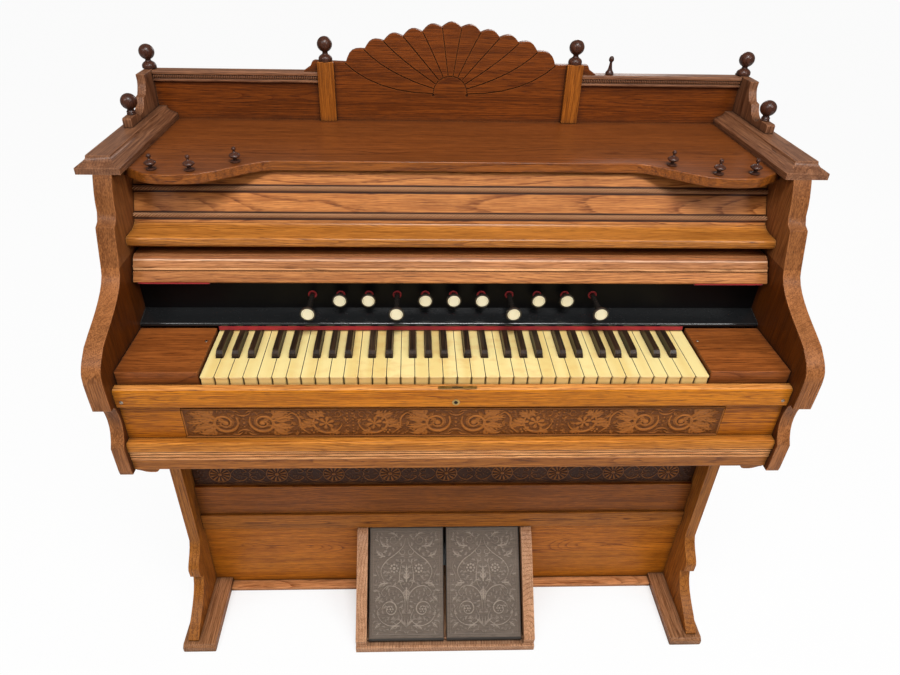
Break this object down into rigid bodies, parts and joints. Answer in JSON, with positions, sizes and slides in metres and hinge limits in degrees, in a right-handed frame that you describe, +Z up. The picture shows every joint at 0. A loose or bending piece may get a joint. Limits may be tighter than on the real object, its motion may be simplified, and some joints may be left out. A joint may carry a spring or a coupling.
{
  "type": "pump organ",
  "caption": "Low-top foot-pumped reed organ in oak with a five-octave keyboard, stop knobs, a sliding fall, a fan crest and two treadles.",
  "frame": {"origin": "floor under the middle of the organ", "axes": "+Z up, the keyboard front faces -Y, +X to the player's right"},
  "size_m": [1.244, 0.547, 1.2302],
  "materials": {
    "oak": "varnished golden oak",
    "dark_oak": "darker varnished oak",
    "black_lacquer": "black lacquer on wood",
    "felt_red": "wool felt",
    "ivory": "yellowed celluloid on wood",
    "ebony": "black stained wood",
    "stop_knob": "black turned wood with a pale face",
    "treadle_cover": "embossed cover plate on a wooden board",
    "brass": "aged",
    "pine": "bare pine",
    "bellows_cloth": "rubber cloth",
    "webbing": "cotton webbing"
  },
  "bodies": {
    "case": {"side_l": "oak", "side_r": "oak", "legs": "oak", "feet": "oak", "caps": "dark_oak", "shelf": "dark_oak", "gallery_ends": "dark_oak", "gallery_panels": "dark_oak", "gallery_rails": "dark_oak", "fan_board": "dark_oak", "gallery_posts": "oak", "ball_finials": "dark_oak", "shelf_finials": "dark_oak", "fascia": "oak", "fascia_nose": "oak", "back_panels": "oak", "keyslip": "oak", "front_panel": "oak", "carved_panel": "oak", "bottom_rail": "oak", "case_bottom": "oak", "knee_panels": "oak", "knee_rails": "oak", "key_bed": "oak", "key_blocks": "dark_oak", "felts": "felt_red", "name_board": "black_lacquer", "stop_board": "black_lacquer", "treadle_frame": "oak", "fittings": "brass", "reed_pan": "oak", "bellows_board": "pine", "bellows_cloth": "bellows_cloth", "straps": "webbing", "naturals": "ivory", "sharps": "ebony"},
    "fall": {"fall": "dark_oak"},
    "treadle_left": {"treadle_l": "treadle_cover"},
    "treadle_right": {"treadle_r": "treadle_cover"},
    "exhauster_left": {"exhauster_l": "pine"},
    "exhauster_right": {"exhauster_r": "pine"},
    "reservoir_board": {"reservoir": "pine"},
    "stop_knob_1": {"stop_1": "stop_knob"},
    "stop_knob_2": {"stop_2": "stop_knob"},
    "stop_knob_3": {"stop_3": "stop_knob"},
    "stop_knob_4": {"stop_4": "stop_knob"},
    "stop_knob_5": {"stop_5": "stop_knob"},
    "stop_knob_6": {"stop_6": "stop_knob"},
    "stop_knob_7": {"stop_7": "stop_knob"},
    "stop_knob_8": {"stop_8": "stop_knob"},
    "stop_knob_9": {"stop_9": "stop_knob"},
    "stop_knob_10": {"stop_10": "stop_knob"},
    "stop_knob_11": {"stop_11": "stop_knob"},
    "key_lever_c": {"key_c": "ivory"},
    "key_lever_c_sharp": {"key_c_sharp": "ebony"},
    "key_lever_d": {"key_d": "ivory"},
    "key_lever_d_sharp": {"key_d_sharp": "ebony"},
    "key_lever_e": {"key_e": "ivory"},
    "key_lever_f": {"key_f": "ivory"},
    "key_lever_g": {"key_g": "ivory"}
  },
  "joints": [
    {"name": "fall_swing", "type": "hinge", "parent": "case", "child": "fall", "pos_m": [0, 0.0113, 0.52724], "axis": [1, 0, 0], "range_deg": [0, 32]},
    {"name": "stop_1_draw", "type": "slide", "parent": "case", "child": "stop_knob_1", "axis": [0, 1, 0], "range_m": [0, 0.044]},
    {"name": "stop_2_draw", "type": "slide", "parent": "case", "child": "stop_knob_2", "axis": [0, 1, 0], "range_m": [-0.044, 0]},
    {"name": "stop_3_draw", "type": "slide", "parent": "case", "child": "stop_knob_3", "axis": [0, 1, 0], "range_m": [-0.044, 0]},
    {"name": "stop_4_draw", "type": "slide", "parent": "case", "child": "stop_knob_4", "axis": [0, 1, 0], "range_m": [0, 0.044]},
    {"name": "stop_5_draw", "type": "slide", "parent": "case", "child": "stop_knob_5", "axis": [0, 1, 0], "range_m": [-0.044, 0]},
    {"name": "stop_6_draw", "type": "slide", "parent": "case", "child": "stop_knob_6", "axis": [0, 1, 0], "range_m": [-0.044, 0]},
    {"name": "stop_7_draw", "type": "slide", "parent": "case", "child": "stop_knob_7", "axis": [0, 1, 0], "range_m": [-0.044, 0]},
    {"name": "stop_8_draw", "type": "slide", "parent": "case", "child": "stop_knob_8", "axis": [0, 1, 0], "range_m": [0, 0.044]},
    {"name": "stop_9_draw", "type": "slide", "parent": "case", "child": "stop_knob_9", "axis": [0, 1, 0], "range_m": [-0.044, 0]},
    {"name": "stop_10_draw", "type": "slide", "parent": "case", "child": "stop_knob_10", "axis": [0, 1, 0], "range_m": [-0.044, 0]},
    {"name": "stop_11_draw", "type": "slide", "parent": "case", "child": "stop_knob_11", "axis": [0, 1, 0], "range_m": [0, 0.044]},
    {"name": "key_c_press", "type": "hinge", "parent": "case", "child": "key_lever_c", "pos_m": [0, 0.0905, 0.738], "axis": [1, 0, 0], "range_deg": [0, 1.5], "stiffness_Nm_per_rad": 3, "springref_deg": -14.32},
    {"name": "key_c_sharp_press", "type": "hinge", "parent": "case", "child": "key_lever_c_sharp", "pos_m": [0, 0.0905, 0.738], "axis": [1, 0, 0], "range_deg": [0, 1.5], "stiffness_Nm_per_rad": 3, "springref_deg": -14.32},
    {"name": "key_d_press", "type": "hinge", "parent": "case", "child": "key_lever_d", "pos_m": [0, 0.0905, 0.738], "axis": [1, 0, 0], "range_deg": [0, 1.5], "stiffness_Nm_per_rad": 3, "springref_deg": -14.32},
    {"name": "key_d_sharp_press", "type": "hinge", "parent": "case", "child": "key_lever_d_sharp", "pos_m": [0, 0.0905, 0.738], "axis": [1, 0, 0], "range_deg": [0, 1.5], "stiffness_Nm_per_rad": 3, "springref_deg": -14.32},
    {"name": "key_e_press", "type": "hinge", "parent": "case", "child": "key_lever_e", "pos_m": [0, 0.0905, 0.738], "axis": [1, 0, 0], "range_deg": [0, 1.5], "stiffness_Nm_per_rad": 3, "springref_deg": -14.32},
    {"name": "key_f_press", "type": "hinge", "parent": "case", "child": "key_lever_f", "pos_m": [0, 0.0905, 0.738], "axis": [1, 0, 0], "range_deg": [0, 1.5], "stiffness_Nm_per_rad": 3, "springref_deg": -14.32},
    {"name": "key_g_press", "type": "hinge", "parent": "case", "child": "key_lever_g", "pos_m": [0, 0.0905, 0.738], "axis": [1, 0, 0], "range_deg": [0, 1.5], "stiffness_Nm_per_rad": 3, "springref_deg": -14.32},
    {"name": "treadle_left_press", "type": "hinge", "parent": "case", "child": "treadle_left", "pos_m": [0, -0.2505, 0.0195], "axis": [-1, 0, 0], "range_deg": [0, 18], "stiffness_Nm_per_rad": 8, "springref_deg": -28.65, "deforming": ["straps"]},
    {"name": "treadle_right_press", "type": "hinge", "parent": "case", "child": "treadle_right", "pos_m": [0, -0.2505, 0.0195], "axis": [-1, 0, 0], "range_deg": [0, 18], "stiffness_Nm_per_rad": 8, "springref_deg": -28.65, "deforming": ["straps"]},
    {"name": "exhauster_left_open", "type": "hinge", "parent": "case", "child": "exhauster_left", "pos_m": [0, 0.0775, 0.06], "axis": [1, 0, 0], "range_deg": [0, 9], "deforming": ["bellows_cloth", "straps"]},
    {"name": "exhauster_right_open", "type": "hinge", "parent": "case", "child": "exhauster_right", "pos_m": [0, 0.0775, 0.06], "axis": [1, 0, 0], "range_deg": [0, 9], "deforming": ["bellows_cloth", "straps"]},
    {"name": "reservoir_close", "type": "hinge", "parent": "case", "child": "reservoir_board", "pos_m": [0, 0.1015, 0.06], "axis": [1, 0, 0], "range_deg": [0, 7.5], "stiffness_Nm_per_rad": 60, "springref_deg": -34.38, "deforming": ["bellows_cloth"]}
  ],
  "couplings": [
    {"joint": "exhauster_left_open", "follows": "treadle_left_press", "ratio": 0.5},
    {"joint": "exhauster_right_open", "follows": "treadle_right_press", "ratio": 0.5}
  ]
}
